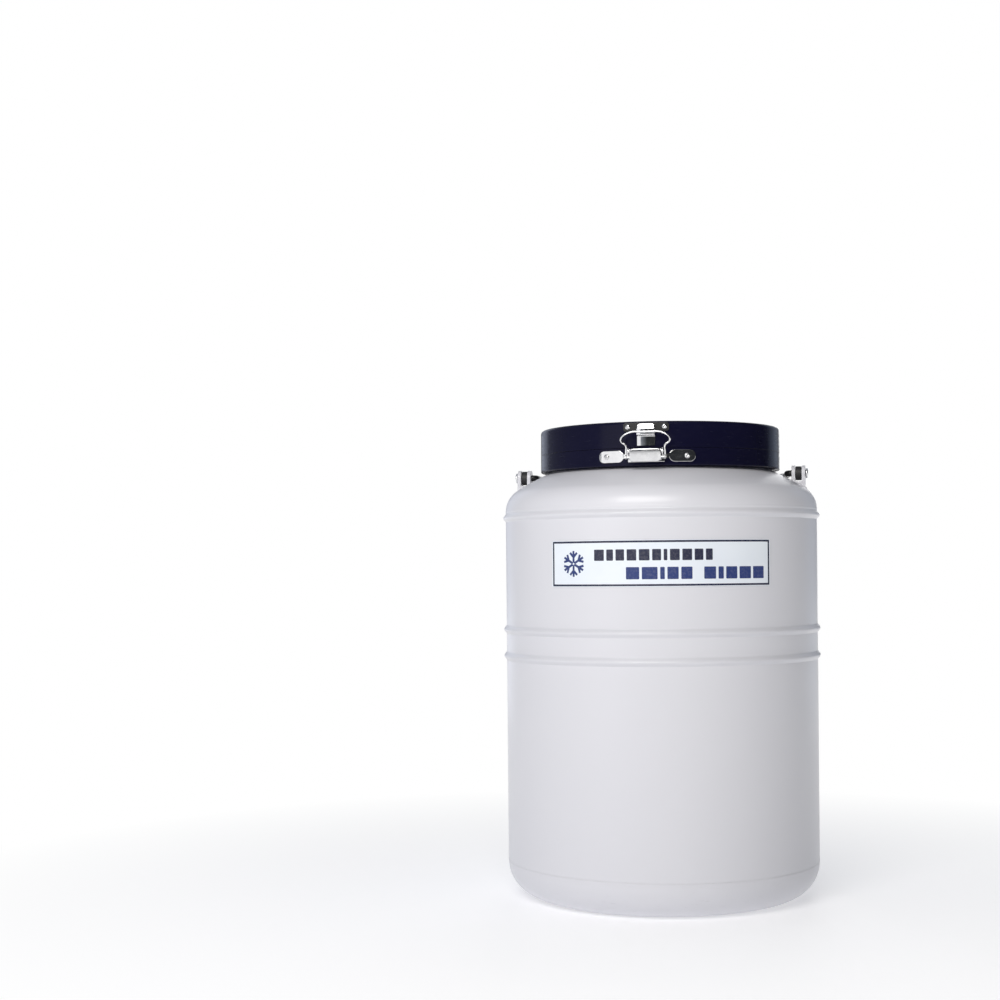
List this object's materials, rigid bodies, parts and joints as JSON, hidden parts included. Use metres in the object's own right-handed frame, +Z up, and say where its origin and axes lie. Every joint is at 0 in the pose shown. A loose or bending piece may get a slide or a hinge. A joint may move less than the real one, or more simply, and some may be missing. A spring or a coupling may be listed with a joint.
{
  "type": "liquid nitrogen dewar",
  "caption": "Portable dry vapour shipper for liquid nitrogen: white ribbed vacuum vessel with a hinged navy lid, foam neck plug, front draw latch and swinging bail handle.",
  "frame": {"origin": "centre of the underside, on the surface that the vessel stands on", "axes": "+Z up along the vessel's axis, the draw latch faces -Y, +X is to the right as seen from the latch"},
  "size_m": [0.3874, 0.3874, 0.57],
  "materials": {
    "white_paint": "gloss white paint with a faint orange peel",
    "navy_plastic": "glossy moulded plastic, very dark navy",
    "bright_steel": "bright plated steel",
    "black_coating": "black dip coating on steel rod",
    "black_nylon": "moulded black nylon",
    "bare_aluminium": "bare spun sheet",
    "glass_fibre": "glass-fibre laminate, amber",
    "foam": "rigid closed-cell foam",
    "foil": "layers of aluminised film and glass paper",
    "absorbent": "pressed white fibre absorbent",
    "getter": "pouch of sieve beads",
    "label": "printed vinyl with a navy border and plain bars"
  },
  "bodies": {
    "vessel": {"outer_shell": "white_paint", "base_pan": "white_paint", "shoulder_head": "white_paint", "lug_left": "white_paint", "lug_right": "white_paint", "label_plate": "label", "neck_tube": "glass_fibre", "neck_ring": "bare_aluminium", "inner_vessel": "bare_aluminium", "insulation_blanket": "foil", "getter_pack": "getter", "absorbent_pack": "absorbent", "chamber_liner": "bare_aluminium", "vacuum_port": "bare_aluminium", "vacuum_port_plug": "bright_steel", "vacuum_port_cap": "black_nylon", "neck_collar": "navy_plastic", "hinge_leaf_lower": "bright_steel", "hinge_pin": "bright_steel", "hinge_screw_lower_left": "bright_steel", "hinge_screw_lower_right": "bright_steel", "latch_base": "bright_steel", "latch_pin": "bright_steel", "latch_screw_left": "bright_steel", "latch_screw_right": "bright_steel", "bail_bush_left": "black_nylon", "bail_bush_right": "black_nylon"},
    "lid": {"lid_shell": "navy_plastic", "lid_base_ring": "navy_plastic", "neck_plug": "foam", "hinge_leaf_upper": "bright_steel", "hinge_screw_upper_left": "bright_steel", "hinge_screw_upper_right": "bright_steel", "keeper": "bright_steel", "keeper_screw_left": "bright_steel", "keeper_screw_right": "bright_steel"},
    "lever": {"latch_lever": "bright_steel"},
    "link": {"latch_link_pin": "bright_steel"},
    "loop": {"latch_loop": "bright_steel"},
    "bail": {"bail_rod": "black_coating", "bail_grip": "black_nylon", "bail_cap_left": "bright_steel", "bail_cap_right": "bright_steel"}
  },
  "joints": [
    {"name": "lid_hinge", "type": "hinge", "parent": "vessel", "child": "lid", "pos_m": [0, 0.1515, 0.539], "axis": [-1, 0, 0], "range_deg": [0, 100]},
    {"name": "latch_lever_pivot", "type": "hinge", "parent": "vessel", "child": "lever", "pos_m": [0, -0.1545, 0.5345], "axis": [-1, 0, 0], "range_deg": [0, 150]},
    {"name": "latch_link_turn", "type": "hinge", "parent": "lever", "child": "link", "pos_m": [0, -0.1535, 0.528], "axis": [-1, 0, 0], "range_deg": [-150, 0]},
    {"name": "latch_loop_pivot", "type": "hinge", "parent": "link", "child": "loop", "pos_m": [0, -0.1535, 0.528], "axis": [1, 0, 0], "range_deg": [0, 75]},
    {"name": "bail_pivot", "type": "hinge", "parent": "vessel", "child": "bail", "pos_m": [0, 0, 0.514], "axis": [1, 0, 0], "range_deg": [0, 180]}
  ],
  "couplings": [
    {"joint": "latch_link_turn", "follows": "latch_lever_pivot", "ratio": -1}
  ]
}
